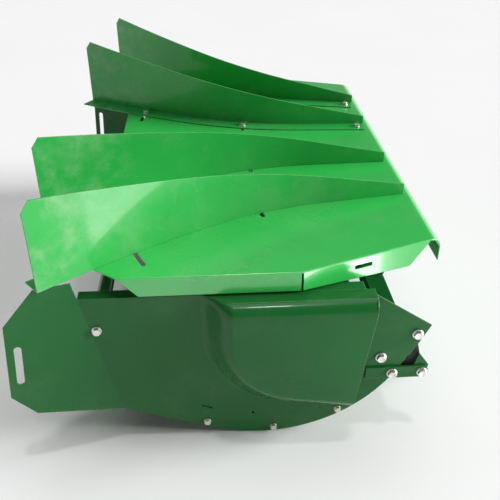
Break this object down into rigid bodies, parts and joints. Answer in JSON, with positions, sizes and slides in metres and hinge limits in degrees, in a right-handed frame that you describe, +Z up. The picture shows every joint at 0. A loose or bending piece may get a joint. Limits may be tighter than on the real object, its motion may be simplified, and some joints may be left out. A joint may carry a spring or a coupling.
{
  "type": "residue spreader",
  "caption": "Sheet-metal residue spreader for a combine's rear: a hinged tailboard with adjustable curved vanes over a discharge housing with flared wings and side air hoods.",
  "frame": {"origin": "centre of the mounting plate's four-hole pattern, on the plate's front face", "axes": "+X towards the machine, normal to the mounting plate; +Y across the machine; +Z up"},
  "size_m": [0.9403, 1.4529, 0.65],
  "materials": {
    "deck_paint": "gloss green paint",
    "vane_paint": "gloss green paint",
    "housing_paint": "gloss green paint",
    "zinc_hardware": "bright zinc plated",
    "rubber": "matt black rubber"
  },
  "bodies": {
    "housing": {"air_hood_left": "housing_paint", "air_hood_right": "housing_paint", "beam_bolt_nuts": "zinc_hardware", "beam_bolt_washers": "zinc_hardware", "beam_bolts": "zinc_hardware", "beam_end_plates": "housing_paint", "bottom_pan": "housing_paint", "brace_bolt_nuts": "zinc_hardware", "brace_bolt_washers": "zinc_hardware", "brace_bolts": "zinc_hardware", "front_beam": "housing_paint", "front_brace_left": "housing_paint", "front_brace_right": "housing_paint", "front_gusset_left": "housing_paint", "front_gusset_right": "housing_paint", "hinge_brackets": "housing_paint", "hinge_rod": "zinc_hardware", "hinge_rod_washers": "zinc_hardware", "hinge_split_pins": "zinc_hardware", "inlet_seal_left": "rubber", "inlet_seal_right": "rubber", "mounting_plate": "housing_paint", "mounting_webs": "housing_paint", "pan_bolts": "zinc_hardware", "pan_nuts": "zinc_hardware", "pan_washers": "zinc_hardware", "rear_tie_tube": "housing_paint", "rest_pads": "rubber", "seal_spacers": "zinc_hardware", "side_panel_left": "housing_paint", "side_panel_right": "housing_paint", "tie_bolt_washers": "zinc_hardware", "tie_bolts": "zinc_hardware"},
    "tailboard": {"tailboard_deck": "deck_paint", "rear_stiffener": "deck_paint", "front_stiffener": "deck_paint", "tailboard_hinge_lugs": "deck_paint"},
    "vane_outer_right": {"vane_outer_right": "vane_paint", "vane_outer_right_bolts": "zinc_hardware", "vane_outer_right_nuts": "zinc_hardware", "vane_outer_right_washers": "zinc_hardware"},
    "vane_inner_right": {"vane_inner_right": "vane_paint", "vane_inner_right_bolts": "zinc_hardware", "vane_inner_right_nuts": "zinc_hardware", "vane_inner_right_washers": "zinc_hardware"},
    "vane_inner_left": {"vane_inner_left": "vane_paint", "vane_inner_left_bolts": "zinc_hardware", "vane_inner_left_nuts": "zinc_hardware", "vane_inner_left_washers": "zinc_hardware"},
    "vane_outer_left": {"vane_outer_left": "vane_paint", "vane_outer_left_bolts": "zinc_hardware", "vane_outer_left_nuts": "zinc_hardware", "vane_outer_left_washers": "zinc_hardware"}
  },
  "joints": [
    {"name": "tailboard_lift", "type": "hinge", "parent": "housing", "child": "tailboard", "pos_m": [-0.028, 0, 0.19], "axis": [0, 1, 0], "range_deg": [0, 20]},
    {"name": "vane_outer_right_swing", "type": "hinge", "parent": "tailboard", "child": "vane_outer_right", "pos_m": [-0.058, -0.296, 0.218], "axis": [0, 0, 1], "range_deg": [-3.5, 6.5]},
    {"name": "vane_inner_right_swing", "type": "hinge", "parent": "tailboard", "child": "vane_inner_right", "pos_m": [-0.058, -0.101, 0.218], "axis": [0, 0, 1], "range_deg": [-4.7, 5.3]},
    {"name": "vane_inner_left_swing", "type": "hinge", "parent": "tailboard", "child": "vane_inner_left", "pos_m": [-0.058, 0.127, 0.218], "axis": [0, 0, 1], "range_deg": [-4.7, 5.3]},
    {"name": "vane_outer_left_swing", "type": "hinge", "parent": "tailboard", "child": "vane_outer_left", "pos_m": [-0.058, 0.322, 0.218], "axis": [0, 0, 1], "range_deg": [-3.6, 6.4]}
  ]
}
